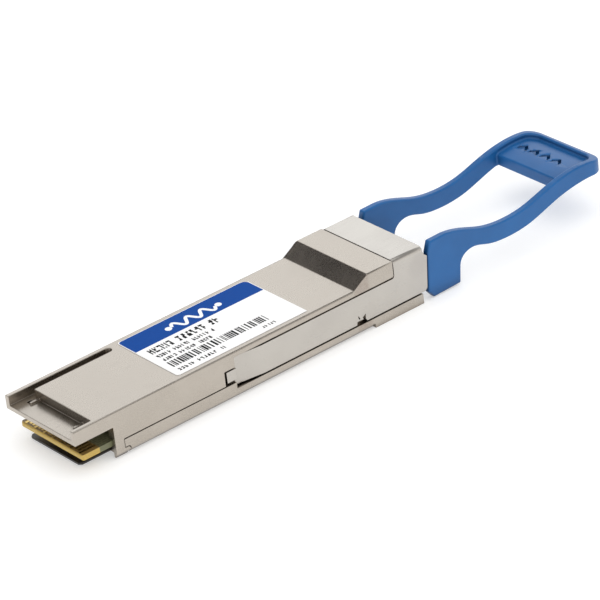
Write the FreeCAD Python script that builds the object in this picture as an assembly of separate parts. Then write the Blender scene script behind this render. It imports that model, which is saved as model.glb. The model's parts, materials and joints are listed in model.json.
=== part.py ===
import FreeCAD, Part

import math
import os

# Pluggable optical transceiver module with a multi-fibre port, a sliding latch and a pull tab.
#
# Millimetres. X runs along the module from the card-edge end to the pull tab, Z is up, and the
# module is symmetric about Y = 0 except where a comment says otherwise. While it is being built,
# X = 0 is the front edge of the hood; save() then moves the origin under the middle of the body,
# on the underside, which is the base face.

V = FreeCAD.Vector
X_DIR, Y_DIR, Z_DIR = V(1, 0, 0), V(0, 1, 0), V(0, 0, 1)

# Driving sizes of the body
BODY_LENGTH = 72.4
BODY_WIDTH = 18.35
BODY_HEIGHT = 8.5
NOSE_HEIGHT = 10.45
HALF = BODY_WIDTH / 2
ORIGIN_X = BODY_LENGTH / 2
SEAM_Z = 3.12
SEAM_GAP = 0.14
SEAM_DEPTH = 0.45
EDGE_ROUND = 0.3
UNDER_CHAMFER = 0.85
UNDER_CHAMFER_END_X = 61.7

# Hood over the card edge, with its recess, groove, rails and blind holes
HOOD_LENGTH = 7.54
HOOD_UNDER_Z = 5.96
SHELF_Z = 6.8
PLATE_FRONT_X = 4.2
SIDE_WALL = 0.95
WALL_IN = HALF - SIDE_WALL
GROOVE_IN_Y = 6.85
GROOVE_END_X = 20.3
RAIL = (2.4, 5.6, 0.5, 0.35)
HOLE = (2.5, 6.3, 0.95, 0.7, 0.45)

# Front feet of the top shell and the hook joint with the bottom shell
FOOT_BACK_X = 9.3
TOE_X = 10.35
TOE_Z = 1.45
FOOT_IN_Y = 7.6
FOOT_ROUND = 0.35

# Nose
SLOPE_FOOT_X = 58.05
SLOPE_TOP_X = 61.1
COVER_FRONT_X = 66.7
SHEET = 0.4
NOSE_UNDER_COVER = NOSE_HEIGHT - SHEET - 0.06

# Latch slider and its recess in the shells' sides
ARM_OUT = HALF - 0.05
ARM_IN = ARM_OUT - SHEET
RECESS_IN = ARM_IN - 0.06
RECESS_LOW_Z, RECESS_TOP_Z = 1.86, 7.54
ARM_LOW_Z, ARM_TOP_Z = 2.1, 7.27
TIP_X = 32.35
BEND_X = (33.6, 38.2)
TIP_SINK = 0.62
TIP_RECESS_END_X = 41.5
TIP_RECESS_IN = 7.85
WINDOW = (30.15, 32.7, 3.12, 5.75)
TONGUE = (30.6, 32.6, 3.45, 5.45)
COVER_REAR_X = 73.1
COVER_BEND = 0.85
COVER_GAP = 0.14
STEP_ROUND = 0.5
PANEL_REAR = [(73.1, 9.6), (73.36, 8.9), (74.0, 8.4), (73.45, 2.6), (73.0, 2.1)]
STAKE_NOTCH = [(57.75, 1.0), (58.05, 2.72), (59.4, 2.66), (59.25, 3.05), (59.95, 3.5),
               (59.85, 2.6), (60.7, 1.0)]
STAKE_SLIT = [(58.28, 3.6), (58.42, 3.62), (58.68, 3.04), (58.5, 2.94)]
STAKE_POCKET = (57.6, 60.8, 1.86, 3.7)
STAKE_POCKET_IN = 8.1
WING = (72.9, 79.6, 3.4, 7.0)

# Return springs in their channels
LUG_X = 49.0
LUG_LOW_Z, LUG_TOP_Z = 2.2, 4.3
LUG_IN = 7.0
CHANNEL = (47.9, 58.2, 2.06, 4.45)
CHANNEL_IN = 6.8
SPRING_Y, SPRING_Z = 7.75, 3.3
SPRING_R, SPRING_WIRE_R, SPRING_TURNS = 0.62, 0.11, 9

# Pull tab
TAB_THICK = 1.38
TAB_IN = ARM_OUT - TAB_THICK
TAB_REAR_X = 114.8
BAR_FRONT_X = 105.1
PANEL_SINK = 1.0
PANEL_CORNER = 2.2
RIM = 1.2
TAB_CORNER = 2.6
TAB_ROUND = 0.35

# Room inside the shells
FLOOR_Z = 1.0
FRONT_CEILING_Z, CEILING_Z = 6.0, 7.45
CEILING_STEP_X = 23.0
ROOM_FRONT_X, ROOM_MID_X, ROOM_REAR_X, ROOM_END_X = 9.9, 29.0, 47.4, 60.0
ROOM_FRONT_Y, ROOM_MID_Y, ROOM_REAR_Y = 8.3, 7.3, 6.3

# Guard plate under the card edge, held in the bottom shell's front wall
GUARD_X, GUARD_Y, GUARD_Z = (2.2, 9.3), (-6.3, 7.2), (0.3, 0.65)

# Circuit board and its contacts
BOARD_LOW_Z, BOARD_TOP_Z = 2.2, 3.2
CARD_FRONT_X, CARD_BACK_X, BOARD_REAR_X = 1.6, 11.2, 46.6
CARD_HALF, BOARD_HALF = 8.21, 7.1
CONTACT_COUNT, CONTACT_PITCH = 19, 0.8
CONTACT_WIDTH, CONTACT_THICK = 0.54, 0.04
CONTACT_X = (2.15, 4.9)
GROUND_X = (1.82, 4.9)

# Screws from below
SCREW_SPOTS = [(13.2, 6.4), (53.0, 4.9)]
SCREW_R, SCREW_HEAD_R, SCREW_HEAD_H, SCREW_LENGTH = 0.8, 1.35, 0.75, 4.3
BOSS_R = 1.35
BOSS_SPLIT_Z = 2.25

# Fibre port
PORT_Z = 5.15
PORT_FRONT_X = 60.4
PORT_HALF_Y, PORT_HALF_Z = 7.5, 4.45
PORT_PLAY = 0.05
SOCKET_FRONT_X, SOCKET_HALF_Y, SOCKET_HALF_Z = 63.2, 6.35, 3.85
GASKET_X = (61.2, 62.2)
GASKET_DEPTH = 0.6
FERRULE_X = (58.5, 66.5)
FERRULE_HALF_Y, FERRULE_HALF_Z = 3.2, 1.25
FLANGE_BACK_X, FLANGE_HALF_Y, FLANGE_HALF_Z = 60.3, 3.75, 1.6
PIN_R, PIN_PITCH, PIN_X = 0.35, 4.6, (57.7, 68.5)
KEEPER_X = (57.6, 58.45)

# Optical engine on the board
CARRIER_X, CARRIER_HALF, CARRIER_TOP_Z = (37.6, 46.2), 6.4, 4.5
FIBRE_Y_PORT, FIBRE_Y_ENGINE = 1.0, 3.2
RIBBON_WIDTH, RIBBON_THICK = 1.0, 0.25
BLOCK_X = (42.2, 45.6)


def box(x0, x1, y0, y1, z0, z1):
    return Part.makeBox(x1 - x0, y1 - y0, z1 - z0, V(x0, y0, z0))


def centred(x0, x1, half_y, z0, z1):
    """A box centred on Y = 0."""
    return box(x0, x1, -half_y, half_y, z0, z1)


def pair(x0, x1, y0, y1, z0, z1):
    """Two boxes, one each side, from distance y0 to y1 from the middle."""
    return [box(x0, x1, y0, y1, z0, z1), box(x0, x1, -y1, -y0, z0, z1)]


def rod(x, y, z, r, length, direction=Z_DIR):
    return Part.makeCylinder(r, length, V(x, y, z), direction)


def mirrored(shape):
    return shape.mirror(V(0, 0, 0), Y_DIR)


def both(shape):
    return [shape, mirrored(shape)]


def prism_xz(points, y0, y1):
    """A closed outline of (x, z) points, extruded from y0 to y1."""
    wire = Part.makePolygon([V(x, y0, z) for x, z in points + points[:1]])
    return Part.Face(wire).extrude(V(0, y1 - y0, 0))


def prism_xy(points, z0, z1):
    """A closed outline of (x, y) points, extruded from z0 to z1."""
    wire = Part.makePolygon([V(x, y, z0) for x, y in points + points[:1]])
    return Part.Face(wire).extrude(V(0, 0, z1 - z0))


def fuse(shapes):
    return shapes[0].multiFuse(shapes[1:]).removeSplitter()


def edges_along(shape, direction, keep):
    """The straight edges parallel to direction whose middle point passes keep(point)."""
    found = []
    for edge in shape.Edges:
        chord = edge.Vertexes[-1].Point - edge.Vertexes[0].Point
        straight = chord.Length > 0.01 and edge.Length < 1.0001 * chord.Length
        if straight and abs(chord.normalize().dot(direction)) > 0.999 and keep(edge.CenterOfMass):
            found.append(edge)
    return found


def save(name, shape):
    """Write the solids of one sub-part, with the origin moved under the body's middle."""
    moved = Part.Compound(shape.Solids)
    moved.translate(V(-ORIGIN_X, 0, 0))
    moved.exportStep("parts/" + name + ".step")


def outer_block(outline, rounded):
    """A full-width block with its long outer edges rounded where rounded(point) says."""
    block = prism_xz(outline, -HALF, HALF)
    return block.makeFillet(EDGE_ROUND, edges_along(block, X_DIR, rounded))


def under_chamfers():
    """What the chamfers take off the two long bottom edges in front of the nose."""
    size = UNDER_CHAMFER
    corner = Part.makePolygon([V(-1, HALF - size, 0), V(-1, HALF + 1, size + 1), V(-1, HALF + 1, -1),
                               V(-1, HALF - size, -1), V(-1, HALF - size, 0)])
    return both(Part.Face(corner).extrude(V(UNDER_CHAMFER_END_X + 1, 0, 0)))


def latch_recess():
    """Everything that the latch slider's arms, tips, lugs and cover need to be clear of the shells."""
    rear, step = BODY_LENGTH + 1, COVER_FRONT_X - COVER_GAP
    outline = [(TIP_X, RECESS_LOW_Z), (rear, RECESS_LOW_Z), (rear, NOSE_HEIGHT + 1),
               (step, NOSE_HEIGHT + 1), (step, RECESS_TOP_Z), (TIP_X, RECESS_TOP_Z)]
    side = prism_xz(outline, RECESS_IN, HALF + 1)
    side = side.makeFillet(STEP_ROUND - COVER_GAP, edges_along(
        side, Y_DIR, lambda p: abs(p.x - step) + abs(p.z - RECESS_TOP_Z) < 0.01))
    tip = pair(TIP_X, TIP_RECESS_END_X, TIP_RECESS_IN, HALF + 1, RECESS_LOW_Z, RECESS_TOP_Z)
    window = pair(WINDOW[0], WINDOW[1], TIP_RECESS_IN, HALF + 1, WINDOW[2], WINDOW[3])
    channel = pair(CHANNEL[0], CHANNEL[1], CHANNEL_IN, HALF + 1, CHANNEL[2], CHANNEL[3])
    low, high = STAKE_POCKET[:2], STAKE_POCKET[2:]
    pocket = pair(*low, STAKE_POCKET_IN, HALF - 0.2, *high)
    roof = centred(step, rear, HALF + 1, NOSE_UNDER_COVER, NOSE_HEIGHT + 1)
    return both(side) + tip + window + channel + pocket + [roof]


def screw_places():
    return [(x, side * y) for x, y in SCREW_SPOTS for side in (1, -1)]


def hood_details(shell):
    """Recess on top of the hood, the groove on its +Y side, rails, and blind holes in the shelf."""
    recess = centred(-1, PLATE_FRONT_X, WALL_IN, SHELF_Z, BODY_HEIGHT + 1)
    groove_r = (WALL_IN - GROOVE_IN_Y) / 2
    groove_end = GROOVE_END_X - groove_r
    groove = box(-1, groove_end, GROOVE_IN_Y, WALL_IN, SHELF_Z, BODY_HEIGHT + 1)
    round_end = rod(groove_end, GROOVE_IN_Y + groove_r, SHELF_Z, groove_r, 3)
    hole_x, hole_y, hole_long, hole_wide, hole_deep = HOLE
    holes = pair(hole_x, hole_x + hole_long, hole_y, hole_y + hole_wide,
                 SHELF_Z - hole_deep, SHELF_Z + 1)
    rail_x, rail_y, rail_wide, rail_high = RAIL
    rails = pair(rail_x, PLATE_FRONT_X + 0.1, rail_y, rail_y + rail_wide,
                 SHELF_Z - 0.1, SHELF_Z + rail_high)
    return fuse([shell.cut([recess, groove, round_end] + holes)] + rails)


def make_top_shell():
    outline = [(0, HOOD_UNDER_Z), (0, BODY_HEIGHT), (SLOPE_FOOT_X, BODY_HEIGHT),
               (SLOPE_TOP_X, NOSE_HEIGHT), (BODY_LENGTH, NOSE_HEIGHT), (BODY_LENGTH, SEAM_Z),
               (HOOD_LENGTH, SEAM_Z), (HOOD_LENGTH, HOOD_UNDER_Z)]
    shell = outer_block(outline, lambda p: p.z > SHELF_Z and p.x < SLOPE_TOP_X + 12)
    foot_outline = [(HOOD_LENGTH, HOOD_UNDER_Z), (HOOD_LENGTH, 0), (TOE_X, 0), (TOE_X, TOE_Z),
                    (FOOT_BACK_X, TOE_Z), (FOOT_BACK_X, HOOD_UNDER_Z)]
    foot = prism_xz(foot_outline, FOOT_IN_Y, HALF)
    foot = foot.makeFillet(FOOT_ROUND, edges_along(
        foot, Y_DIR, lambda p: p.x < HOOD_LENGTH + 0.01 and p.z < 0.01))
    toe_edges = edges_along(foot, Y_DIR, lambda p: p.x > TOE_X - 0.01)
    foot = foot.makeFillet(0.5, toe_edges)
    shell = fuse([shell] + both(foot)).cut(under_chamfers())
    room = [centred(ROOM_FRONT_X, CEILING_STEP_X, ROOM_FRONT_Y, SEAM_Z - 5, FRONT_CEILING_Z),
            centred(CEILING_STEP_X - 1, ROOM_MID_X, ROOM_FRONT_Y, SEAM_Z - 5, CEILING_Z),
            centred(ROOM_MID_X - 1, ROOM_REAR_X, ROOM_MID_Y, SEAM_Z - 5, CEILING_Z),
            centred(ROOM_REAR_X - 1, ROOM_END_X, ROOM_REAR_Y, SEAM_Z - 5, CEILING_Z)]
    card_mouth = centred(HOOD_LENGTH - 1, ROOM_FRONT_X + 1, ROOM_FRONT_Y, SEAM_Z - 5, BOARD_TOP_Z + 0.5)
    brow = centred(HOOD_LENGTH - 1, HOOD_LENGTH + 1.2, FOOT_IN_Y, SEAM_Z - 5, HOOD_UNDER_Z)
    port = centred(PORT_FRONT_X, BODY_LENGTH + 1, PORT_HALF_Y, SEAM_Z - 5, PORT_Z + PORT_HALF_Z)
    fibre_way = centred(ROOM_END_X - 1, PORT_FRONT_X + 1, FLANGE_HALF_Y + 0.3, SEAM_Z - 5, CEILING_Z)
    shell = shell.cut(room + [card_mouth, brow, port, fibre_way] + latch_recess())
    shell = hood_details(shell)
    under_bend = edges_along(shell, X_DIR, lambda p: abs(abs(p.y) - RECESS_IN) < 0.01
                             and abs(p.z - NOSE_UNDER_COVER) < 0.01)
    shell = shell.makeFillet(COVER_BEND - SHEET, under_bend)
    posts = []
    for x, y in screw_places():
        ceiling = FRONT_CEILING_Z if x < CEILING_STEP_X else CEILING_Z
        posts.append(rod(x, y, BOSS_SPLIT_Z, BOSS_R, ceiling + 0.2 - BOSS_SPLIT_Z))
    shell = fuse([shell] + posts)
    return shell.cut([rod(x, y, 0, SCREW_R, SCREW_LENGTH + 0.4) for x, y in screw_places()])


def make_bottom_shell():
    outline = [(FOOT_BACK_X + 0.06, 0), (FOOT_BACK_X + 0.06, SEAM_Z),
               (BODY_LENGTH, SEAM_Z), (BODY_LENGTH, 0)]
    shell = prism_xz(outline, -HALF, HALF).cut(under_chamfers())
    toe = box(FOOT_BACK_X - 1, TOE_X + 0.08, FOOT_IN_Y - 0.1, HALF + 1, -1, TOE_Z + 0.08)
    toe = toe.makeFillet(0.5, edges_along(toe, Y_DIR, lambda p: p.x > TOE_X and p.z > 0))
    front_wall = centred(HOOD_LENGTH + 0.9, ROOM_FRONT_X + 0.4, FOOT_IN_Y - 0.12, 0.05, BOARD_LOW_Z - 0.1)
    seam = pair(FOOT_BACK_X - 1, BODY_LENGTH + 1, HALF - SEAM_DEPTH, HALF + 1,
                SEAM_Z - SEAM_GAP, SEAM_Z + 1)
    room = [centred(ROOM_FRONT_X, ROOM_MID_X, ROOM_FRONT_Y, FLOOR_Z, SEAM_Z + 1),
            centred(ROOM_MID_X - 1, ROOM_REAR_X, ROOM_MID_Y, FLOOR_Z, SEAM_Z + 1),
            centred(ROOM_REAR_X - 1, ROOM_END_X, ROOM_REAR_Y, FLOOR_Z, SEAM_Z + 1)]
    card_mouth = centred(FOOT_BACK_X - 1, ROOM_FRONT_X + 1, ROOM_FRONT_Y, BOARD_LOW_Z - 0.1, SEAM_Z + 1)
    port = centred(PORT_FRONT_X, BODY_LENGTH + 1, PORT_HALF_Y, PORT_Z - PORT_HALF_Z, SEAM_Z + 1)
    fibre_way = centred(ROOM_END_X - 1, PORT_FRONT_X + 1, FLANGE_HALF_Y + 0.3, FLOOR_Z + 1, SEAM_Z + 1)
    shell = fuse([shell.cut(both(toe)), front_wall]).cut(make_contact_guard())
    shell = shell.cut(room + [card_mouth, port, fibre_way] + seam + latch_recess())
    ledges = pair(ROOM_FRONT_X + 6, ROOM_REAR_X - 2, ROOM_MID_Y - 0.9, ROOM_MID_Y + 0.2,
                  FLOOR_Z - 0.1, BOARD_LOW_Z)
    posts = [rod(x, y, 0.1, BOSS_R + 0.15, BOSS_SPLIT_Z - 0.1) for x, y in screw_places()]
    shell = fuse([shell] + ledges + posts)
    for x, y in screw_places():
        sink = Part.makeCone(SCREW_HEAD_R + 0.05, SCREW_R + 0.05, SCREW_HEAD_H, V(x, y, 0))
        shell = shell.cut([sink, rod(x, y, -1, SCREW_R + 0.05, 5)])
    return shell


def make_contact_guard():
    """Thin plate that shields the underside of the card edge."""
    guard = box(*GUARD_X, *GUARD_Y, *GUARD_Z)
    return guard.makeChamfer(0.5, edges_along(guard, Z_DIR, lambda p: p.x < GUARD_X[0] + 0.01))


def make_shell_screws():
    """Four countersunk screws with a cross recess, heads flush with the underside."""
    screws = []
    for x, y in screw_places():
        head = Part.makeCone(SCREW_HEAD_R, SCREW_R - 0.02, SCREW_HEAD_H, V(x, y, 0.03))
        shank = rod(x, y, 0.4, SCREW_R - 0.02, SCREW_LENGTH - 0.4)
        slots = [box(x - 0.65, x + 0.65, y - 0.14, y + 0.14, -0.1, 0.45),
                 box(x - 0.14, x + 0.14, y - 0.65, y + 0.65, -0.1, 0.45)]
        screws.append(head.fuse(shank).cut(slots).removeSplitter())
    return Part.Compound(screws)


def arm_side(side):
    """One side of the slider: side panel, arm, sunk tip with its tongue, spring lug and rear wing."""
    outline = [(COVER_FRONT_X, NOSE_HEIGHT - COVER_BEND)] + PANEL_REAR
    outline += [(BEND_X[1], ARM_LOW_Z), (BEND_X[1], ARM_TOP_Z), (COVER_FRONT_X, ARM_TOP_Z)]
    plate = prism_xz(outline, ARM_IN, ARM_OUT)
    inner_corner = edges_along(plate, Y_DIR,
                               lambda p: abs(p.x - COVER_FRONT_X) + abs(p.z - ARM_TOP_Z) < 0.01)
    plate = plate.makeFillet(STEP_ROUND, inner_corner)
    plate = plate.cut([prism_xz(cut, ARM_IN - 1, HALF) for cut in (STAKE_NOTCH, STAKE_SLIT)])
    sunk_out = ARM_OUT - TIP_SINK
    bend = [(BEND_X[1] + 0.01, ARM_OUT), (BEND_X[0], sunk_out), (TIP_X, sunk_out),
            (TIP_X, sunk_out - SHEET), (BEND_X[0], sunk_out - SHEET), (BEND_X[1] + 0.01, ARM_IN)]
    tip = prism_xy(bend, ARM_LOW_Z, ARM_TOP_Z)
    tongue = box(TONGUE[0], TONGUE[1], sunk_out - SHEET, ARM_OUT - 0.05, TONGUE[2], TONGUE[3])
    lug = box(LUG_X, LUG_X + SHEET, LUG_IN, ARM_IN + 0.1, LUG_LOW_Z, LUG_TOP_Z)
    wing = box(WING[0], WING[1], ARM_IN - SHEET, ARM_IN + 0.02, WING[2], WING[3])
    shape = fuse([plate, tip, tongue, lug, wing])
    return shape if side > 0 else mirrored(shape)


def make_latch_slider():
    """Stamped sheet: the cover over the nose, bent down both sides into the two latch arms."""
    bend_in = COVER_BEND - SHEET
    outer = box(COVER_FRONT_X, COVER_REAR_X, -ARM_OUT, ARM_OUT, NOSE_HEIGHT - COVER_BEND, NOSE_HEIGHT)
    outer = outer.makeFillet(COVER_BEND - 0.001, edges_along(
        outer, X_DIR, lambda p: p.z > NOSE_HEIGHT - 0.01))
    inner = box(COVER_FRONT_X - 1, COVER_REAR_X + 1, -ARM_IN, ARM_IN,
                NOSE_HEIGHT - COVER_BEND - 1, NOSE_HEIGHT - SHEET)
    inner = inner.makeFillet(bend_in, edges_along(
        inner, X_DIR, lambda p: p.z > NOSE_HEIGHT - SHEET - 0.01))
    return fuse([outer.cut(inner), arm_side(1), arm_side(-1)])


def tab_outline():
    """Side outline of the pull tab's arm: a tall root plate that narrows into an S-shaped strap."""
    top = [(78.0, 10.6), (82.4, 9.72), (86.85, 8.2), (92.0, 7.56), (96.6, 7.98),
           (102.0, 9.46), (107.2, 10.42), (TAB_REAR_X, 9.7)]
    low = [(TAB_REAR_X, 7.3), (109.6, 7.5), (103.2, 6.42), (97.0, 4.62), (91.8, 4.18),
           (87.3, 4.78), (84.1, 5.58), (82.0, 4.95), (81.1, 3.3)]
    front = [(80.75, 0.3), (74.75, 0.12), (73.65, 1.5), (74.25, 8.6), (74.95, 10.55)]
    return top, low, front


def curve_xz(points, y):
    spline = Part.BSplineCurve()
    spline.interpolate([V(x, y, z) for x, z in points])
    return spline.toShape()


def line_xz(a, b, y):
    return Part.makeLine(V(a[0], y, a[1]), V(b[0], y, b[1]))


def tab_slab(drop=0.0):
    """The tab's side outline extruded over its full width, with its top lowered by drop."""
    top, low, front = tab_outline()
    top = [(x, z - drop) for x, z in top]
    runs = [curve_xz(top, -ARM_OUT), line_xz(top[-1], low[0], -ARM_OUT), curve_xz(low, -ARM_OUT)]
    stops = [low[-1]] + front + [top[0]]
    runs += [line_xz(a, b, -ARM_OUT) for a, b in zip(stops, stops[1:])]
    return Part.Face(Part.Wire(Part.__sortEdges__(runs))).extrude(V(0, 2 * ARM_OUT, 0))


def make_pull_tab():
    """Two side straps joined at the rear by a bar with a sunk panel inside a raised rim."""
    plan = centred(ORIGIN_X, TAB_REAR_X, ARM_OUT, -1, NOSE_HEIGHT + 5)
    plan = plan.makeFillet(TAB_CORNER, edges_along(plan, Z_DIR, lambda p: p.x > TAB_REAR_X - 1))
    loop = centred(ORIGIN_X, BAR_FRONT_X, TAB_IN, -1, NOSE_HEIGHT + 5)
    above = centred(BAR_FRONT_X - 1, TAB_REAR_X - RIM, TAB_IN, 5, NOSE_HEIGHT + 5)
    above = above.makeFillet(PANEL_CORNER, edges_along(above, Z_DIR, lambda p: p.x > BAR_FRONT_X))
    tab = tab_slab().cut(loop).common(plan).cut(above.cut(tab_slab(PANEL_SINK))).Solids[0]
    tab = tab.makeFillet(TAB_ROUND, tab.Edges)
    wing = box(WING[0], WING[1], ARM_IN - SHEET, ARM_IN + 0.02, WING[2], WING[3])
    return tab.cut(both(wing))


def make_return_spring(side):
    """A compression coil with plain ends, between the slider's lug and the channel's rear wall."""
    start = LUG_X + SHEET + 0.14
    length = CHANNEL[1] - start - 0.14
    helix = Part.makeHelix(length / SPRING_TURNS, length, SPRING_R)
    wire = Part.Circle(V(SPRING_R, 0, 0), Y_DIR, SPRING_WIRE_R).toShape()
    coil = Part.Wire(helix.Edges).makePipeShell([Part.Wire([wire])], True, True)
    coil.rotate(V(0, 0, 0), Y_DIR, 90)
    coil.translate(V(start, side * SPRING_Y, SPRING_Z))
    return coil


def make_product_label():
    """Thin foil on the top face with rounded front corners and one clipped rear corner."""
    x0, x1, half, clip = 21.85, 48.85, 8.05, 0.85
    outline = [(x0, -half), (x1, -half), (x1, half - clip), (x1 - clip, half), (x0, half)]
    label = prism_xy(outline, BODY_HEIGHT, BODY_HEIGHT + 0.08)
    return label.makeFillet(0.6, edges_along(label, Z_DIR, lambda p: p.x < x0 + 0.01))


def make_circuit_board():
    """Main board: full-width card edge in front, narrower inside, notched round the front screws."""
    nose = 0.3
    outline = [(CARD_FRONT_X, -CARD_HALF + nose), (CARD_FRONT_X + nose, -CARD_HALF),
               (CARD_BACK_X, -CARD_HALF), (CARD_BACK_X, -BOARD_HALF), (BOARD_REAR_X, -BOARD_HALF)]
    outline += [(x, -y) for x, y in reversed(outline)]
    board = prism_xy(outline, BOARD_LOW_Z, BOARD_TOP_Z)
    bevel = [e for e in edges_along(board, Y_DIR, lambda p: p.x < CARD_FRONT_X + 0.01)]
    board = board.makeChamfer(0.18, bevel)
    x, y = SCREW_SPOTS[0]
    notches = [rod(x, side * y, 0, BOSS_R + 0.2, 5) for side in (1, -1)]
    slots = [box(x - BOSS_R - 0.2, x + BOSS_R + 0.2, side * y - (0 if side > 0 else 3),
                 side * y + (3 if side > 0 else 0), 0, 5) for side in (1, -1)]
    return board.cut(notches + slots)


def contact_row(z0):
    """One face's contacts; every third one is a ground contact that starts nearer the edge."""
    row = []
    for i in range(CONTACT_COUNT):
        y = (i - (CONTACT_COUNT - 1) / 2) * CONTACT_PITCH
        x0, x1 = GROUND_X if i % 3 == 0 else CONTACT_X
        row.append(box(x0, x1, y - CONTACT_WIDTH / 2, y + CONTACT_WIDTH / 2, z0, z0 + CONTACT_THICK))
    return Part.Compound(row)


def make_emi_gasket():
    out_y, out_z = PORT_HALF_Y - 0.005, PORT_HALF_Z - 0.005
    ring = centred(*GASKET_X, out_y, PORT_Z - out_z, PORT_Z + out_z)
    hole_y, hole_z = PORT_HALF_Y - GASKET_DEPTH, PORT_HALF_Z - GASKET_DEPTH
    return ring.cut(centred(0, 99, hole_y, PORT_Z - hole_z, PORT_Z + hole_z))


def make_port_housing():
    """Plug socket with a key slot, a ferrule window in its back wall and a gasket groove."""
    half_y, half_z = PORT_HALF_Y - PORT_PLAY, PORT_HALF_Z - PORT_PLAY
    body = centred(PORT_FRONT_X + PORT_PLAY, BODY_LENGTH - 0.1, half_y, PORT_Z - half_z, PORT_Z + half_z)
    socket = centred(SOCKET_FRONT_X, BODY_LENGTH + 1, SOCKET_HALF_Y,
                     PORT_Z - SOCKET_HALF_Z, PORT_Z + SOCKET_HALF_Z)
    key = centred(SOCKET_FRONT_X + 2, BODY_LENGTH + 1, 1.5, PORT_Z, PORT_Z + SOCKET_HALF_Z + 0.3)
    window = centred(0, 99, FERRULE_HALF_Y + 0.03, PORT_Z - FERRULE_HALF_Z - 0.03,
                     PORT_Z + FERRULE_HALF_Z + 0.03)
    groove = centred(*GASKET_X, 20, -20, 30).cut(centred(
        0, 99, PORT_HALF_Y - GASKET_DEPTH, PORT_Z - PORT_HALF_Z + GASKET_DEPTH,
        PORT_Z + PORT_HALF_Z - GASKET_DEPTH))
    return body.cut([socket, key, window, groove])


def make_latch_clip():
    """Plate against the socket's back wall with two hooks that hold a plug's sides."""
    x0 = SOCKET_FRONT_X
    plate = centred(x0, x0 + 0.6, SOCKET_HALF_Y - 0.1, PORT_Z - 2.2, PORT_Z + 2.2)
    arms = pair(x0, x0 + 7.2, 5.6, 6.1, PORT_Z - 1.2, PORT_Z + 1.2)
    hook = prism_xy([(x0 + 5.9, 5.7), (x0 + 6.5, 5.0), (x0 + 7.2, 5.7)], PORT_Z - 1.2, PORT_Z + 1.2)
    window = centred(0, 99, FERRULE_HALF_Y + 0.2, PORT_Z - FERRULE_HALF_Z - 0.2,
                     PORT_Z + FERRULE_HALF_Z + 0.2)
    return fuse([plate] + arms + both(hook)).cut(window)


def pin_places():
    return [side * PIN_PITCH / 2 for side in (1, -1)]


def pin_bores(x0, x1):
    return [rod(x0 - 1, y, PORT_Z, PIN_R, x1 - x0 + 2, X_DIR) for y in pin_places()]


def fibre_slots():
    """Clear way for the two fibre ribbons behind the ferrule."""
    return pair(0, 99, FIBRE_Y_PORT - 0.65, FIBRE_Y_PORT + 0.65, PORT_Z - 0.3, PORT_Z + 0.3)


def make_mt_ferrule():
    body = centred(FERRULE_X[0], FERRULE_X[1], FERRULE_HALF_Y,
                   PORT_Z - FERRULE_HALF_Z, PORT_Z + FERRULE_HALF_Z)
    flange = centred(FERRULE_X[0], FLANGE_BACK_X, FLANGE_HALF_Y,
                     PORT_Z - FLANGE_HALF_Z, PORT_Z + FLANGE_HALF_Z)
    return fuse([body, flange]).cut(pin_bores(*FERRULE_X))


def make_guide_pins():
    pins = []
    for y in pin_places():
        pin = rod(PIN_X[0], y, PORT_Z, PIN_R, PIN_X[1] - PIN_X[0], X_DIR)
        tip = [e for e in pin.Edges if e.CenterOfMass.x > PIN_X[1] - 0.01]
        pins.append(pin.makeChamfer(0.15, tip))
    return Part.Compound(pins)


def make_pin_keeper():
    plate = centred(*KEEPER_X, 3.1, PORT_Z - 1.1, PORT_Z + 1.1)
    return plate.cut(pin_bores(*KEEPER_X) + fibre_slots())


def make_ferrule_clip():
    """Bent sheet fixed to the floor that presses the keeper and ferrule towards the port."""
    foot = centred(54.6, 57.2, 2.6, FLOOR_Z, FLOOR_Z + 0.3)
    upright = centred(56.9, 57.2, 2.6, FLOOR_Z, PORT_Z + 1.6)
    lips = pair(57.15, KEEPER_X[0], 1.9, 2.5, PORT_Z + 0.45, PORT_Z + 0.85)
    return fuse([foot, upright] + lips).cut(fibre_slots())


def make_fibre_ribbon(side):
    """Four fibres side by side: out of the ferrule, a gentle S, and into the fibre block."""
    x0, x1, x2, x3 = BLOCK_X[1], 47.2, 56.0, FERRULE_X[0]
    y0, y1 = side * FIBRE_Y_ENGINE, side * FIBRE_Y_PORT
    reach, shift = x2 - x1, abs(y1 - y0)
    radius = (reach ** 2 + shift ** 2) / (4 * shift)
    turn = math.asin(reach / 2 / radius)
    towards = 1 if y1 > y0 else -1
    mid = V((x1 + x2) / 2, (y0 + y1) / 2, PORT_Z)
    sag_x, sag_y = radius * math.sin(turn / 2), radius * (1 - math.cos(turn / 2))
    arc_a = Part.Arc(V(x1, y0, PORT_Z), V(x1 + sag_x, y0 + towards * sag_y, PORT_Z), mid)
    arc_b = Part.Arc(mid, V(x2 - sag_x, y1 - towards * sag_y, PORT_Z), V(x2, y1, PORT_Z))
    path = Part.Wire([Part.makeLine(V(x0, y0, PORT_Z), V(x1, y0, PORT_Z)), arc_a.toShape(),
                      arc_b.toShape(), Part.makeLine(V(x2, y1, PORT_Z), V(x3, y1, PORT_Z))])
    half_w, half_t = RIBBON_WIDTH / 2, RIBBON_THICK / 2
    corners = [V(x0, y0 + a * half_w, PORT_Z + b * half_t) for a, b in
               ((-1, -1), (1, -1), (1, 1), (-1, 1), (-1, -1))]
    ribbon = path.makePipeShell([Part.makePolygon(corners)], True, False)
    length = path.Length
    print("ribbon volume / (section x length):",
          round(ribbon.Volume / (RIBBON_WIDTH * RIBBON_THICK * length), 4))
    return ribbon


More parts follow.
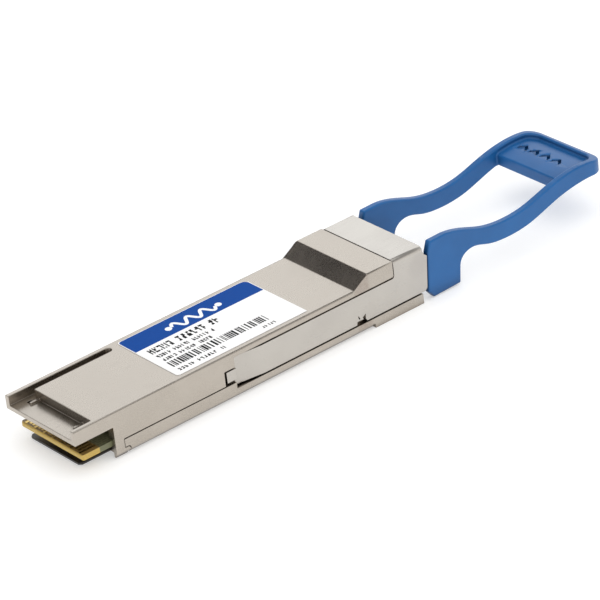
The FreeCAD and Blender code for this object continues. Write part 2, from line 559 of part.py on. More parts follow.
def make_fibre_block(side):
    """Glass block whose grooves hold the ribbon's bare fibres in front of the optics."""
    y = side * FIBRE_Y_ENGINE
    block = box(BLOCK_X[0], BLOCK_X[1], y - 1.1, y + 1.1, CARRIER_TOP_Z, PORT_Z + 0.7)
    grooves = [rod(BLOCK_X[0] - 1, y + (i - 1.5) * 0.25, PORT_Z, 0.06, 9, X_DIR) for i in range(4)]
    return block.cut(grooves)


def make_optical_carrier():
    return centred(*CARRIER_X, CARRIER_HALF, BOARD_TOP_Z, CARRIER_TOP_Z)


def make_laser_chips():
    """Four lasers on their raised submounts, level with the fibres."""
    lasers = []
    for i in range(4):
        y = FIBRE_Y_ENGINE + (i - 1.5) * 0.6
        lasers.append(box(38.6, 39.3, y - 0.2, y + 0.2, CARRIER_TOP_Z, PORT_Z + 0.05))
    return Part.Compound(lasers)


def make_tx_lens_array():
    y = FIBRE_Y_ENGINE
    bar = box(39.7, 40.4, y - 1.3, y + 1.3, CARRIER_TOP_Z, PORT_Z + 0.6)
    lenses = [Part.makeSphere(0.28, V(40.4, y + (i - 1.5) * 0.6, PORT_Z)) for i in range(4)]
    return fuse([bar] + lenses)


def make_optical_isolator():
    y = FIBRE_Y_ENGINE
    return box(40.9, 41.8, y - 1.0, y + 1.0, CARRIER_TOP_Z, PORT_Z + 0.6)


def make_photodiode_array():
    y = -FIBRE_Y_ENGINE
    return box(39.2, 39.8, y - 0.9, y + 0.9, CARRIER_TOP_Z, CARRIER_TOP_Z + 0.2)


def make_rx_prism():
    """Turning prism that folds the received light down onto the photodiodes."""
    y = -FIBRE_Y_ENGINE
    outline = [(40.0, CARRIER_TOP_Z), (41.9, CARRIER_TOP_Z), (41.9, PORT_Z + 0.6), (41.0, PORT_Z + 0.6)]
    return prism_xz(outline, y - 1.1, y + 1.1)


def make_engine_lid():
    """Metal lid over the optics, open at the rear for the fibre blocks and ribbons."""
    x0, x1, half = CARRIER_X[0] + 0.2, CARRIER_X[1] - 0.3, CARRIER_HALF - 0.2
    wall, top = 0.3, 6.6
    lid = centred(x0, x1, half, CARRIER_TOP_Z, top)
    lid = lid.makeFillet(0.35, edges_along(lid, Z_DIR, lambda p: True))
    hollow = centred(x0 + wall, x1 - wall, half - wall, CARRIER_TOP_Z - 1, top - wall)
    way_out = centred(x1 - 1, x1 + 1, FIBRE_Y_ENGINE + 1.4, CARRIER_TOP_Z - 1, PORT_Z + 0.9)
    return lid.cut([hollow, way_out])


def chip(x, y, long, wide, high, base=BOARD_TOP_Z):
    return box(x - long / 2, x + long / 2, y - wide / 2, y + wide / 2, base, base + high)


def group(places, long, wide, high):
    return Part.Compound([chip(x, y, long, wide, high) for x, y in places])


def make_retimer_chip():
    """Square package with a chamfered corner mark."""
    body = chip(19.2, 0, 6.0, 6.0, 0.9)
    mark = rod(17.0, 2.2, BOARD_TOP_Z + 0.85, 0.3, 1)
    return body.cut(mark)


def make_chip_resistors():
    spots = [(25.0 + 0.9 * i, side * 5.9) for i in range(6) for side in (1, -1)]
    return group(spots, 0.5, 0.9, 0.3)


def make_ceramic_capacitors():
    spots = [(15.1 + 1.2 * i, side * 4.4) for i in range(7) for side in (1, -1)]
    return group(spots, 0.5, 1.0, 0.5)


def main():
    os.makedirs("parts", exist_ok=True)
    save("top_shell", make_top_shell())
    save("bottom_shell", make_bottom_shell())
    save("contact_guard", make_contact_guard())
    save("shell_screws", make_shell_screws())
    save("latch_slider", make_latch_slider())
    save("pull_tab", make_pull_tab())
    save("return_spring_left", make_return_spring(1))
    save("return_spring_right", make_return_spring(-1))
    save("product_label", make_product_label())
    save("circuit_board", make_circuit_board())
    save("edge_contacts_top", contact_row(BOARD_TOP_Z))
    save("edge_contacts_bottom", contact_row(BOARD_LOW_Z - CONTACT_THICK))
    save("emi_gasket", make_emi_gasket())
    save("mpo_port_housing", make_port_housing())
    save("mpo_latch_clip", make_latch_clip())
    save("mt_ferrule", make_mt_ferrule())
    save("guide_pins", make_guide_pins())
    save("pin_keeper", make_pin_keeper())
    save("ferrule_clip", make_ferrule_clip())
    save("tx_fibre_ribbon", make_fibre_ribbon(1))
    save("rx_fibre_ribbon", make_fibre_ribbon(-1))
    save("tx_fibre_block", make_fibre_block(1))
    save("rx_fibre_block", make_fibre_block(-1))
    save("optical_carrier", make_optical_carrier())
    save("laser_chips", make_laser_chips())
    save("tx_lens_array", make_tx_lens_array())
    save("optical_isolator", make_optical_isolator())
    save("photodiode_array", make_photodiode_array())
    save("rx_prism", make_rx_prism())
    save("engine_lid", make_engine_lid())
    save("laser_driver", chip(35.0, 3.2, 3.2, 2.6, 0.4))
    save("receiver_amplifier", chip(35.0, -3.2, 3.2, 2.6, 0.4))
    save("retimer_chip", make_retimer_chip())
    save("microcontroller", chip(26.6, 2.4, 4.0, 4.0, 0.8))
    save("voltage_regulators", group([(26.0, -1.2), (26.0, -4.2)], 2.4, 2.4, 0.9))
    save("power_inductors", group([(30.3, -4.4), (30.3, -1.9), (30.3, 0.6)], 2.5, 2.0, 1.2))
    save("ceramic_capacitors", make_ceramic_capacitors())
    save("chip_resistors", make_chip_resistors())
    save("crystal_oscillator", chip(30.6, 3.8, 2.5, 2.0, 0.7))
    save("retimer_thermal_pad", chip(19.2, 0, 5.8, 5.8, FRONT_CEILING_Z - BOARD_TOP_Z - 0.9,
                                     BOARD_TOP_Z + 0.9))
    save("optics_thermal_pad", centred(38.4, 45.2, 5.6, 6.6, CEILING_Z))


main()
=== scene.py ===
import json
import math
import random

import bmesh
import bpy
from mathutils import Matrix, Vector


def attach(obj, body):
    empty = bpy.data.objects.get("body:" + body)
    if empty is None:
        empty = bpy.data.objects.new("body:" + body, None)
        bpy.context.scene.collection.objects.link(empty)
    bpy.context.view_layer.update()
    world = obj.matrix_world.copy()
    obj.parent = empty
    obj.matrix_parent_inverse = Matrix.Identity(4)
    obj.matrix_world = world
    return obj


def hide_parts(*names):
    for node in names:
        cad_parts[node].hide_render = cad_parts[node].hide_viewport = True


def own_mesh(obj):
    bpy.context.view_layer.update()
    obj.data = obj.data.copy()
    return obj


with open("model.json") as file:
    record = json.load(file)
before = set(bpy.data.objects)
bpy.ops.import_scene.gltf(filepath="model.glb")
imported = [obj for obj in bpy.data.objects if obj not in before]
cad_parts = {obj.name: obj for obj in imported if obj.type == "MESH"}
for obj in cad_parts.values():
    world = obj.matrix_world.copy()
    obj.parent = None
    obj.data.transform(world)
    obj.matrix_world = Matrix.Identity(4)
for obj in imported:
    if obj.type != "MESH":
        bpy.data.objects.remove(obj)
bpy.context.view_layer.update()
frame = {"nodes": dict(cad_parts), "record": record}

MM = 0.001
ORIGIN = 36.2              # the row's origin, measured back from the hood's front edge, in mm
LABEL_TOP = 8.58           # height of the label's face, in mm
INK_STEP = 0.006           # thickness of one layer of print, in mm
SHEET_ROUND = 0.06         # rounding of the stamped sheet's edges, in mm
CAST_ROUND = 0.1           # rounding of the cast shells' edges, in mm
FLAG_LEFT = 0.08           # share of the light that a dark flag lets through


def at(x, y, z):
    """A place in millimetres, with x from the hood's front edge, as a point in the frame."""
    return Vector(((x - ORIGIN) * MM, y * MM, z * MM))


# ---------------------------------------------------------------- materials

class Nodes:
    """One material's node tree: its Principled shader, and short ways to add and join nodes."""

    def __init__(self, name, **values):
        self.material = bpy.data.materials.new(name)
        self.material.use_nodes = True
        self.tree = self.material.node_tree
        self.shader = self.tree.nodes["Principled BSDF"]
        for socket, value in values.items():
            self.shader.inputs[socket.replace("_", " ")].default_value = value
        self.place = self.add("ShaderNodeTexCoord").outputs["Object"]

    def add(self, kind, **settings):
        node = self.tree.nodes.new(kind)
        for key, value in settings.items():
            setattr(node, key, value)
        return node

    def join(self, output, target):
        self.tree.links.new(output, target)

    def feed(self, target, value):
        if isinstance(value, bpy.types.NodeSocket):
            self.join(value, target)
        else:
            target.default_value = value

    def stretch(self, scale, turn=(0, 0, 0)):
        mapping = self.add("ShaderNodeMapping")
        mapping.inputs["Scale"].default_value = scale
        mapping.inputs["Rotation"].default_value = turn
        self.join(self.place, mapping.inputs["Vector"])
        return mapping.outputs["Vector"]

    def noise(self, size, detail=2.0, rough=0.5, vector=None):
        """Noise whose features are about size millimetres across."""
        node = self.add("ShaderNodeTexNoise")
        node.inputs["Scale"].default_value = 1 / (size * MM)
        node.inputs["Detail"].default_value = detail
        node.inputs["Roughness"].default_value = rough
        self.join(vector or self.place, node.inputs["Vector"])
        return node.outputs["Fac"]

    def span(self, value, low, high, out_low, out_high):
        node = self.add("ShaderNodeMapRange")
        for socket, number in zip(("From Min", "From Max", "To Min", "To Max"),
                                  (low, high, out_low, out_high)):
            node.inputs[socket].default_value = number
        self.feed(node.inputs["Value"], value)
        return node.outputs["Result"]

    def maths(self, operation, a, b=0.0):
        node = self.add("ShaderNodeMath", operation=operation)
        self.feed(node.inputs[0], a)
        self.feed(node.inputs[1], b)
        return node.outputs["Value"]

    def blend(self, factor, a, b, how="MIX"):
        node = self.add("ShaderNodeMix", data_type="RGBA", blend_type=how)
        self.feed(node.inputs["Factor"], factor)
        self.feed(node.inputs[6], a if isinstance(a, bpy.types.NodeSocket) else (*a, 1))
        self.feed(node.inputs[7], b if isinstance(b, bpy.types.NodeSocket) else (*b, 1))
        return node.outputs[2]

    def corner_shade(self, reach):
        """A mask for painted shade: 1 on open surfaces, falling towards 0 in corners and slots, over reach
        millimetres.
        """
        node = self.add("ShaderNodeAmbientOcclusion", samples=8)
        node.inputs["Distance"].default_value = reach * MM
        return self.span(node.outputs["AO"], 0.35, 0.9, 0, 1)

    def axis(self, name):
        node = self.add("ShaderNodeSeparateXYZ")
        self.join(self.place, node.inputs["Vector"])
        return node.outputs[name]

    def bumps(self, *layers):
        """Bump nodes in a chain, each layer a (height, strength, depth in millimetres)."""
        normal = None
        for height, strength, depth in layers:
            node = self.add("ShaderNodeBump")
            node.inputs["Distance"].default_value = depth * MM
            self.feed(node.inputs["Strength"], strength)
            self.join(height, node.inputs["Height"])
            if normal is not None:
                self.join(normal, node.inputs["Normal"])
            normal = node.outputs["Normal"]
        self.join(normal, self.shader.inputs["Normal"])

    def set(self, **sockets):
        for socket, value in sockets.items():
            self.feed(self.shader.inputs[socket.replace("_", " ")], value)


def cast_metal():
    """Satin nickel over die-cast zinc: faint cloudiness, fine grain, coarser on the nose's slope, with
    painted shade in its corners.
    """
    m = Nodes("nickel_on_zinc", Metallic=1.0)
    cloud = m.noise(9, 3)
    fine = m.noise(0.16, 2, 0.7)
    tone = m.blend(m.span(cloud, 0.35, 0.65, 0, 1), (0.452, 0.41, 0.36), (0.49, 0.446, 0.393))
    x = m.axis("X")
    slope = m.maths("MULTIPLY", m.span(x, 0.0215, 0.0222, 0, 1), m.span(x, 0.0247, 0.0252, 1, 0))
    grain = m.noise(0.28, 2, 0.8)
    tone = m.blend(m.maths("MULTIPLY", slope, m.span(grain, 0.35, 0.7, 0.15, 0.7)), tone,
                   (0.32, 0.255, 0.22))
    # Painted shade: the AO mask darkens the nickel towards (0.22, 0.19, 0.16) in corners, recesses and
    # slots.
    tone = m.blend(m.corner_shade(1.2), (0.22, 0.19, 0.16), tone)
    scuff = m.span(m.noise(1.4, 6, 0.7, m.stretch((0.4, 1.6, 1))), 0.56, 0.72, 0, 1)
    rough = m.maths("ADD", m.span(cloud, 0.3, 0.7, 0.25, 0.31), m.span(fine, 0.3, 0.7, -0.03, 0.04))
    m.set(Base_Color=tone, Roughness=m.maths("ADD", rough, m.maths("MULTIPLY", scuff, 0.05)))
    strength = m.maths("ADD", 0.12, m.maths("MULTIPLY", slope, 0.5))
    m.bumps((cloud, 0.1, 0.05), (grain, strength, 0.012), (fine, 0.1, 0.008))
    return m.material


def sheet_metal():
    """Stamped stainless sheet: rolled grain along the strip, satin, with painted shade in its corners and
    a painted round reflection on the side.
    """
    m = Nodes("satin_sheet", Metallic=1.0)
    rolled = m.noise(0.22, 3, 0.6, m.stretch((0.06, 1, 1)))
    cloud = m.noise(7, 2)
    tone = m.blend(m.span(cloud, 0.35, 0.65, 0, 1), (0.492, 0.464, 0.428), (0.527, 0.499, 0.46))
    tone = m.blend(m.span(rolled, 0.4, 0.8, 0, 0.06), tone, (0.45, 0.42, 0.385))
    # Painted shade: the AO mask darkens the sheet towards (0.3, 0.27, 0.24) in corners and slots.
    tone = m.blend(m.corner_shade(0.6), (0.3, 0.27, 0.24), tone)
    # Painted reflection: a faint dark round spot on the side panel, centred at (71.9, -9.12, 7.3) mm,
    # fading out between 1.5 and 2.5 mm.
    reflection_spot = m.add("ShaderNodeVectorMath", operation="DISTANCE")
    m.join(m.place, reflection_spot.inputs[0])
    reflection_spot.inputs[1].default_value = at(71.9, -9.12, 7.3)
    tone = m.blend(m.span(reflection_spot.outputs["Value"], 1.5 * MM, 2.5 * MM, 0.2, 0), tone, (0.38, 0.35, 0.34))
    m.set(Base_Color=tone, Roughness=m.span(rolled, 0.25, 0.75, 0.24, 0.28))
    m.bumps((cloud, 0.06, 0.05), (rolled, 0.02, 0.004))
    return m.material


def wire_metal(name, colour, rough):
    m = Nodes(name, Metallic=1.0)
    turned = m.noise(0.1, 3, 0.6)
    dark = tuple(0.75 * c for c in colour)
    m.set(Base_Color=m.blend(m.span(turned, 0.35, 0.75, 0, 1), colour, dark),
          Roughness=m.span(turned, 0.3, 0.7, rough - 0.06, rough + 0.08))
    m.bumps((turned, 0.15, 0.01))
    return m.material


def blue_plastic():
    """Moulded blue plastic: fine spark-eroded texture, faint flow clouds, and painted shade that deepens
    the blue in its corners.
    """
    m = Nodes("blue_moulding", Specular_IOR_Level=0.4)
    cloud = m.noise(6, 3)
    fine = m.noise(0.12, 3, 0.7)
    tone = m.blend(m.span(cloud, 0.35, 0.65, 0, 1), (0.008, 0.097, 0.295), (0.01, 0.112, 0.335))
    tone = m.blend(m.span(fine, 0.45, 0.8, 0, 0.35), tone, (0.014, 0.125, 0.34))
    # Painted shade: the AO mask deepens the blue towards (0.006, 0.045, 0.14) in corners and round the
    # sunk panel.
    m.set(Base_Color=m.blend(m.corner_shade(3.4), (0.006, 0.045, 0.14), tone),
          Roughness=m.maths("ADD", m.span(fine, 0.3, 0.7, 0.3, 0.4), m.span(cloud, 0.3, 0.7, -0.03, 0.03)))
    m.bumps((cloud, 0.08, 0.08), (fine, 0.12, 0.012))
    return m.material


def plastic(name, low, high, rough, grain=0.12, **values):
    """Moulded or coated plastic: two close tones, uneven gloss and a fine surface."""
    m = Nodes(name, **values)
    cloud = m.noise(1.6, 4)
    fine = m.noise(grain, 3, 0.7)
    m.set(Base_Color=m.blend(m.span(cloud, 0.35, 0.65, 0, 1), low, high),
          Roughness=m.span(fine, 0.3, 0.7, rough - 0.05, rough + 0.08))
    m.bumps((fine, 0.15, 0.01))
    return m.material


def label_face():
    """Printed polyester label: near white, barely uneven, with a soft gloss."""
    m = Nodes("label_white", Specular_IOR_Level=0.3)
    cloud = m.noise(5, 3)
    fine = m.noise(0.09, 2)
    m.set(Base_Color=m.blend(m.span(cloud, 0.3, 0.7, 0, 1), (0.93, 0.93, 0.93), (0.955, 0.955, 0.95)),
          Roughness=m.span(fine, 0.3, 0.7, 0.36, 0.44))
    m.bumps((cloud, 0.1, 0.03), (fine, 0.06, 0.004))
    return m.material


def ink(name, low, high):
    """Printed ink: uneven density and a weak gloss."""
    m = Nodes(name, Specular_IOR_Level=0.03)
    cover = m.noise(0.5, 4, 0.7)
    m.set(Base_Color=m.blend(m.span(cover, 0.35, 0.7, 0, 1), low, high),
          Roughness=m.span(cover, 0.3, 0.7, 0.33, 0.42))
    m.bumps((cover, 0.06, 0.004))
    return m.material


def board_laminate():
    """Bare golden laminate round the contacts; behind them, grey-green mask over copper tracks."""
    m = Nodes("board_laminate", Specular_IOR_Level=0.4)
    tracks = m.add("ShaderNodeTexBrick", offset=0.37, squash=1.0)
    tracks.inputs["Scale"].default_value = 1 / (2.2 * MM)
    tracks.inputs["Mortar Size"].default_value = 0.06
    tracks.inputs["Mortar Smooth"].default_value = 0.2
    m.join(m.place, tracks.inputs["Vector"])
    line = tracks.outputs["Fac"]
    weave = m.noise(0.25, 2)
    mask = m.blend(m.span(weave, 0.3, 0.7, 0, 1), (0.078, 0.08, 0.042), (0.105, 0.105, 0.055))
    mask = m.blend(line, mask, (0.15, 0.155, 0.085))
    bare = m.blend(m.span(weave, 0.3, 0.7, 0, 1), (0.48, 0.33, 0.075), (0.56, 0.39, 0.1))
    # Painted shade: the bare laminate's top face, in the hood's shadow, is darker brown than its front and
    # side faces.
    bare = m.blend(m.span(m.axis("Z"), 3.16 * MM, 3.19 * MM, 0, 1), bare, (0.24, 0.15, 0.045))
    edge = 5.0
    masked = m.span(m.axis("X"), (edge - ORIGIN) * MM, (edge + 0.15 - ORIGIN) * MM, 0, 1)
    m.set(Base_Color=m.blend(masked, bare, mask), Roughness=m.span(weave, 0.3, 0.7, 0.3, 0.42))
    m.bumps((line, 0.3, 0.02), (weave, 0.08, 0.01))
    return m.material


def glass_like(name, colour):
    m = Nodes(name, Transmission_Weight=0.85, IOR=1.5)
    cloud = m.noise(0.8, 3)
    m.set(Base_Color=m.blend(cloud, colour, tuple(0.9 * c for c in colour)),
          Roughness=m.span(cloud, 0.3, 0.7, 0.05, 0.14))
    m.bumps((cloud, 0.05, 0.01))
    return m.material


def floor_paper():
    """White paper on a light table: partly lit from below, so shadows on it stay faint."""
    m = Nodes("pale_floor", Specular_IOR_Level=0.1, Emission_Strength=0.4)
    cloud = m.noise(60, 3)
    fine = m.noise(0.8, 3)
    m.set(Base_Color=m.blend(cloud, (0.69, 0.69, 0.685), (0.71, 0.71, 0.705)),
          Roughness=m.span(fine, 0.3, 0.7, 0.7, 0.8), Emission_Color=(1, 1, 1, 1))
    m.bumps((fine, 0.02, 0.02))
    return m.material


def all_materials():
    """The material of each of the record's slots."""
    return {
        "nickel_plated_zinc": cast_metal(),
        "stainless_sheet": sheet_metal(),
        "screw_steel": wire_metal("screw_steel", (0.5, 0.5, 0.51), 0.3),
        "spring_steel": wire_metal("spring_wire", (0.42, 0.42, 0.44), 0.24),
        "gold_plating": wire_metal("gold_plate", (0.66, 0.48, 0.17), 0.26),
        "blue_plastic": blue_plastic(),
        "label_foil": label_face(),
        "board_laminate": board_laminate(),
        "conductive_rubber": plastic("silver_rubber", (0.16, 0.16, 0.16), (0.22, 0.22, 0.22), 0.7),
        "black_plastic": plastic("black_moulding", (0.014, 0.012, 0.01), (0.024, 0.02, 0.017), 0.38),
        "ferrule_plastic": plastic("ferrule_resin", (0.03, 0.03, 0.033), (0.05, 0.05, 0.054), 0.3),
        "fibre_coating": plastic("ribbon_coating", (0.03, 0.32, 0.5), (0.05, 0.4, 0.56), 0.25),
        "semiconductor": plastic("bare_die", (0.07, 0.07, 0.09), (0.12, 0.12, 0.15), 0.15, 0.05),
        "chip_package": plastic("moulded_package", (0.014, 0.014, 0.015), (0.024, 0.024, 0.025), 0.55),
        "ceramic": plastic("fired_ceramic", (0.36, 0.26, 0.16), (0.46, 0.34, 0.22), 0.5),
        "thermal_pad": plastic("gap_pad", (0.4, 0.43, 0.46), (0.5, 0.53, 0.56), 0.8),
        "optical_glass": glass_like("clear_glass", (0.88, 0.93, 0.95)),
    }


def paint(obj, material):
    obj.data.materials.clear()
    obj.data.materials.append(material)


# ---------------------------------------------------------------- pieces

def new_piece(name, mesh, material, body):
    piece = bpy.data.objects.new(name, mesh)
    bpy.context.scene.collection.objects.link(piece)
    paint(piece, material)
    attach(piece, body)
    return piece


def clean_copy(node, body, material):
    """A piece with a CAD node's own mesh, its facets joined into whole faces, to stand for the node."""
    bm = bmesh.new()
    bm.from_mesh(frame["nodes"][node].data)
    bmesh.ops.remove_doubles(bm, verts=bm.verts, dist=0.002 * MM)
    bmesh.ops.dissolve_limit(bm, angle_limit=math.radians(0.6), verts=bm.verts, edges=bm.edges,
                             delimit={"NORMAL"})
    mesh = bpy.data.meshes.new(node + "_finished")
    bm.to_mesh(mesh)
    bm.free()
    piece = new_piece(node + "_finished", mesh, material, body)
    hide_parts(node)
    return piece


def round_edges(piece, width):
    """Round a piece's sharp edges, and keep every point inside the box it had before."""
    bevel = piece.modifiers.new("edges", "BEVEL")
    bevel.width, bevel.segments = width * MM, 2
    bevel.limit_method, bevel.angle_limit = "ANGLE", math.radians(32)
    bevel.use_clamp_overlap = False
    bevel.harden_normals = True
    bevel.miter_outer = "MITER_ARC"
    corners = [[pick(v.co[i] for v in piece.data.vertices) for i in range(3)] for pick in (min, max)]
    settle(piece)
    for vertex in piece.data.vertices:
        vertex.co = [min(max(c, low), high) for c, low, high in zip(vertex.co, *corners)]


def cut_marks(piece, cutter):
    """Sink the cutter's shapes into a piece, and shade its rounded edges smoothly."""
    boolean = piece.modifiers.new("cut", "BOOLEAN")
    boolean.operation, boolean.object, boolean.solver = "DIFFERENCE", cutter, "EXACT"
    settle(piece)
    bpy.data.objects.remove(cutter)
    piece.data.shade_smooth()
    piece.data.set_sharp_from_angle(angle=math.radians(38))
    weighted = piece.modifiers.new("flat faces", "WEIGHTED_NORMAL")
    weighted.keep_sharp, weighted.weight = True, 80
    settle(piece)


def settle(piece):
    """Apply a piece's modifiers to its mesh."""
    graph = bpy.context.evaluated_depsgraph_get()
    mesh = bpy.data.meshes.new_from_object(piece.evaluated_get(graph))
    mesh.name = piece.name
    piece.modifiers.clear()
    piece.data = mesh


def slabs(name, outlines, low, high):
    """Closed prisms over (x, y) outlines, in millimetres from the hood's front edge."""
    bm = bmesh.new()
    for outline in outlines:
        base = [bm.verts.new(at(x, y, low)) for x, y in outline]
        top = [bm.verts.new(at(x, y, high)) for x, y in outline]
        bm.faces.new(list(reversed(base)))
        bm.faces.new(top)
        for i in range(len(outline)):
            j = (i + 1) % len(outline)
            bm.faces.new((base[i], base[j], top[j], top[i]))
    bmesh.ops.recalc_face_normals(bm, faces=bm.faces)
    mesh = bpy.data.meshes.new(name)
    bm.to_mesh(mesh)
    bm.free()
    return mesh


def rectangle(x0, x1, y0, y1):
    return [(x0, y0), (x1, y0), (x1, y1), (x0, y1)]


def disc(x, y, r, count=20):
    return [(x + r * math.cos(2 * math.pi * i / count), y + r * math.sin(2 * math.pi * i / count))
            for i in range(count)]


def stroke(points, width):
    """The outline of a line of (x, y) points drawn with a pen of the given width."""
    left, right = [], []
    for i, (x, y) in enumerate(points):
        (x0, y0), (x1, y1) = points[max(i - 1, 0)], points[min(i + 1, len(points) - 1)]
        side = Vector((y0 - y1, x1 - x0)).normalized() * width / 2
        left.append((x + side.x, y + side.y))
        right.append((x - side.x, y - side.y))
    return left + right[::-1]


# ---------------------------------------------------------------- label print

def blue_band():
    """The band along the label's left side, with the label's cut and rounded corners."""
    x0, x1, y0, y1 = 21.98, 48.72, 3.1, 7.95
    front = [(x0, y0), (x1, y0)]
    rear = [(x1, y1 - 0.95), (x1 - 0.12, y1 - 0.55), (x1 - 0.5, y1 - 0.16), (x1 - 1.0, y1)]
    corner = [(x0 + 0.6 - 0.6 * math.sin(a), y1 - 0.6 + 0.6 * math.cos(a))
              for a in (0, 0.4, 0.8, 1.2, math.pi / 2)]
    return [front + rear + corner]


def wave_mark():
    """A plain signal-wave pictogram on the blue band."""
    points = [(31.0 + 0.2 * i, 5.1 + 1.0 * math.sin(0.2 * i * 2 * math.pi / 3.0)) for i in range(46)]
    return [stroke(points, 0.6), disc(30.3, 5.1, 0.62), disc(40.7, 5.1, 0.62)]


def scrambled(draw, x0, x1, y0, y1, wide, gap, columns, rows):
    """A line of print with nothing to read: cells with a random pattern of ink in each."""
    blocks = []
    step_x, step_y = wide / columns, (y1 - y0) / rows
    for cell in range(int((x1 - x0 + gap) / (wide + gap))):
        left = x0 + cell * (wide + gap)
        if cell % 7 == 5:
            continue
        solid = draw.randrange(columns)
        for c in range(columns):
            for r in range(rows):
                if c == solid or draw.random() < 0.42:
                    blocks.append(rectangle(left + c * step_x, left + (c + 1) * step_x,
                                            y0 + r * step_y, y0 + (r + 1) * step_y))
    return blocks


def bar_code(draw, x0, x1, y0, y1):
    """A made-up pattern of bars that encodes nothing."""
    bars = []
    x = x0
    while x < x1:
        wide = draw.choice((0.16, 0.16, 0.3, 0.3, 0.44))
        bars.append(rectangle(x, x + wide, y0, y1))
        x += wide + draw.choice((0.13, 0.13, 0.26, 0.4))
    return bars


def print_label():
    """All the print, as thin raised layers on the label's face."""
    draw = random.Random(17)
    black = ink("black_ink", (0.004, 0.004, 0.005), (0.012, 0.012, 0.014))
    blue = ink("blue_ink", (0.003, 0.06, 0.3), (0.004, 0.068, 0.33))
    pale = ink("pale_ink", (0.9, 0.94, 0.96), (0.94, 0.96, 0.97))
    grey = ink("grey_ink", (0.03, 0.03, 0.032), (0.07, 0.07, 0.072))
    layers = [
        ("label_blue_band", blue_band(), blue, 1),
        ("label_wave_mark", wave_mark(), pale, 2),
        ("label_bold_row", scrambled(draw, 23.4, 38.0, 0.45, 2.2, 0.74, 0.22, 3, 4), black, 1),
        ("label_small_row_1", scrambled(draw, 23.4, 35.4, -1.25, -0.3, 0.4, 0.16, 2, 3), grey, 1),
        ("label_small_row_2", scrambled(draw, 23.4, 33.8, -2.8, -1.9, 0.4, 0.16, 2, 3), grey, 1),
        ("label_bar_code", bar_code(draw, 23.2, 42.9, -5.4, -3.35), black, 1),
        ("label_code_row", scrambled(draw, 23.2, 33.0, -7.1, -6.25, 0.42, 0.24, 2, 3), black, 1),
        ("label_mark_row", scrambled(draw, 40.6, 43.9, -7.0, -6.3, 0.36, 0.2, 2, 3), grey, 1),
    ]
    for name, outlines, material, level in layers:
        low = LABEL_TOP - 0.02 if level == 1 else LABEL_TOP
        mesh = slabs(name, outlines, low, LABEL_TOP + level * INK_STEP)
        new_piece(name, mesh, material, "housing")


# ---------------------------------------------------------------- pull tab marks

def chevron_cutter():
    """Four shallow chevrons that point the way the tab is pulled."""
    x, half, wide = 108.5, 1.05, 0.8
    outlines = []
    for i in range(4):
        y = 5.3 - 2.8 * i
        outlines.append([(x, y + half), (x + wide, y + half), (x + wide + half, y),
                         (x + wide, y - half), (x, y - half), (x + half, y)])
    mesh = slabs("chevrons", outlines, 8.95, 9.9)
    cutter = bpy.data.objects.new("chevron_cutter", mesh)
    bpy.context.scene.collection.objects.link(cutter)
    return cutter


# ---------------------------------------------------------------- scene

def make_world():
    """Soft studio surroundings: a bright band behind the object, pale elsewhere, with two dark flags."""
    world = bpy.data.worlds.new("studio")
    bpy.context.scene.world = world
    world.use_nodes = True
    tree = world.node_tree
    background = tree.nodes["Background"]
    place = tree.nodes.new("ShaderNodeTexCoord").outputs["Generated"]
    parts = tree.nodes.new("ShaderNodeSeparateXYZ")
    tree.links.new(place, parts.inputs["Vector"])

    def ramp(source, stops):
        node = tree.nodes.new("ShaderNodeValToRGB")
        elements = node.color_ramp.elements
        elements[0].position, elements[0].color = stops[0][0], (*stops[0][1], 1)
        elements[1].position, elements[1].color = stops[-1][0], (*stops[-1][1], 1)
        for position, colour in stops[1:-1]:
            elements.new(position).color = (*colour, 1)
        node.color_ramp.interpolation = "EASE"
        tree.links.new(source, node.inputs["Fac"])
        return node.outputs["Color"]

    lit = ramp(parts.outputs["Z"], [(0.0, (0.9, 0.89, 0.87)), (0.3, (1.1, 1.1, 1.1)),
                                    (0.42, (1.47, 1.5, 1.53)), (0.53, (1.47, 1.5, 1.53)),
                                    (0.62, (0.4, 0.4, 0.4)), (0.9, (0.35, 0.35, 0.35)),
                                    (0.97, (0.95, 0.95, 0.95))])
    dim = ramp(parts.outputs["Z"], [(0.0, (0.9, 0.89, 0.87)), (0.25, (0.95, 0.94, 0.93)),
                                    (0.45, (0.8, 0.78, 0.76)), (0.6, (0.42, 0.41, 0.4)),
                                    (0.9, (0.35, 0.35, 0.35)), (0.97, (0.95, 0.95, 0.95))])

    def facing(direction, start, stop, out_low, out_high):
        """A soft step from out_low to out_high as the surroundings turn towards a direction."""
        dot = tree.nodes.new("ShaderNodeVectorMath")
        dot.operation = "DOT_PRODUCT"
        tree.links.new(place, dot.inputs[0])
        dot.inputs[1].default_value = direction
        step = tree.nodes.new("ShaderNodeMapRange")
        step.interpolation_type = "SMOOTHSTEP"
        for socket, number in zip(("From Min", "From Max", "To Min", "To Max"),
                                  (start, stop, out_low, out_high)):
            step.inputs[socket].default_value = number
        tree.links.new(dot.outputs["Value"], step.inputs["Value"])
        return step.outputs["Result"]

    mix = tree.nodes.new("ShaderNodeMix")
    mix.data_type = "RGBA"
    tree.links.new(facing((0.594, 0.805, 0), 0.2, 0.55, 0, 1), mix.inputs["Factor"])
    tree.links.new(dim, mix.inputs[6])
    tree.links.new(lit, mix.inputs[7])
    colour = mix.outputs[2]
    # Seen from the camera, the first flag is reflected in the recess and the second in the nose's slope.
    for direction, start, stop in (((-0.52, 0.705, 0.48), 0.955, 0.983),
                                   ((-0.22, 0.705, 0.673), 0.94, 0.978)):
        flag = tree.nodes.new("ShaderNodeVectorMath")
        flag.operation = "SCALE"
        tree.links.new(colour, flag.inputs[0])
        tree.links.new(facing(direction, start, stop, 1, FLAG_LEFT), flag.inputs["Scale"])
        colour = flag.outputs["Vector"]
    tree.links.new(colour, background.inputs["Color"])
    background.inputs["Strength"].default_value = 1.15


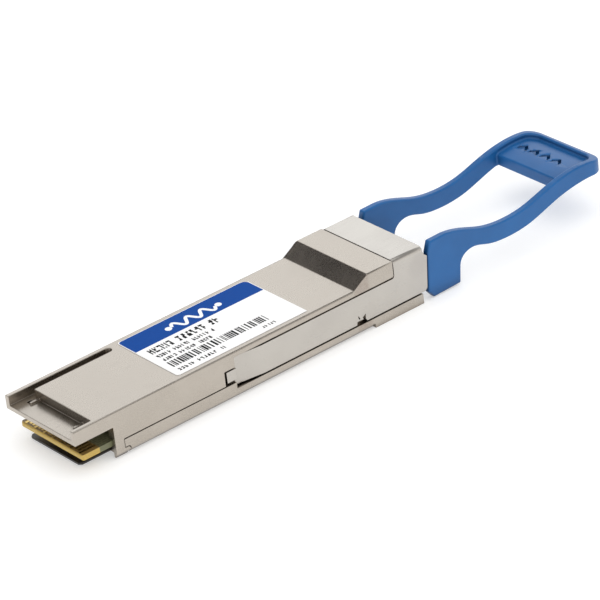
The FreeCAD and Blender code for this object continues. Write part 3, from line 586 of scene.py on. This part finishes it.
def soft_light(name, place, size, watts):
    """A square area light that faces the object and stays out of its reflections."""
    light = bpy.data.lights.new(name, "AREA")
    light.shape, light.size, light.energy = "SQUARE", size, watts
    lamp = bpy.data.objects.new(name, light)
    bpy.context.scene.collection.objects.link(lamp)
    lamp.location = place
    lamp.rotation_euler = (-Vector(place)).to_track_quat("-Z", "Y").to_euler()
    lamp.visible_glossy = False


def make_floor():
    side = 4.0
    mesh = bpy.data.meshes.new("floor")
    corners = [(-side, -side, 0), (side, -side, 0), (side, side, 0), (-side, side, 0)]
    mesh.from_pydata(corners, [], [(0, 1, 2, 3)])
    floor = bpy.data.objects.new("floor", mesh)
    floor.location.z = -0.02 * MM
    bpy.context.scene.collection.objects.link(floor)
    paint(floor, floor_paper())


def make_camera():
    """A long lens from the card-edge end, above and to the right, with a slight roll."""
    azimuth, elevation, roll = math.radians(-36.39), math.radians(28.82), math.radians(-7.03)
    aim, distance = Vector((0.01855, 0.00152, 0.00453)), 0.6532
    back = Vector((math.sin(azimuth) * math.cos(elevation), -math.cos(azimuth) * math.cos(elevation),
                   math.sin(elevation)))
    data = bpy.data.cameras.new("camera")
    data.lens, data.sensor_width = 236.41, 36.0
    data.clip_start, data.clip_end = 0.01, 20
    camera = bpy.data.objects.new("camera", data)
    bpy.context.scene.collection.objects.link(camera)
    camera.location = aim + back * distance
    level = back.to_track_quat("Z", "Y").to_matrix()
    camera.rotation_euler = (level @ Matrix.Rotation(roll, 3, "Z")).to_euler()
    bpy.context.scene.camera = camera


def main():
    materials = all_materials()
    for row in frame["record"]["subparts"]:
        paint(frame["nodes"][row["node"]], materials[row["material_slot"]])
    for node, body, slot, width in (("top_shell", "housing", "nickel_plated_zinc", CAST_ROUND),
                                    ("bottom_shell", "housing", "nickel_plated_zinc", CAST_ROUND),
                                    ("latch_slider", "latch", "stainless_sheet", SHEET_ROUND)):
        round_edges(clean_copy(node, body, materials[slot]), width)
    cut_marks(clean_copy("pull_tab", "latch", materials["blue_plastic"]),
              chevron_cutter())
    for node in ("return_spring_left", "return_spring_right"):
        spring = clean_copy(node, "housing", materials["spring_steel"])
        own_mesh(spring)
    print_label()
    make_world()
    soft_light("overhead", (0.05, -0.12, 0.9), 1.2, 4.4)
    soft_light("front_fill", (-0.5, -0.7, 0.6), 0.9, 1.2)
    make_floor()
    make_camera()
    bpy.context.scene.view_settings.view_transform = "Standard"


main()
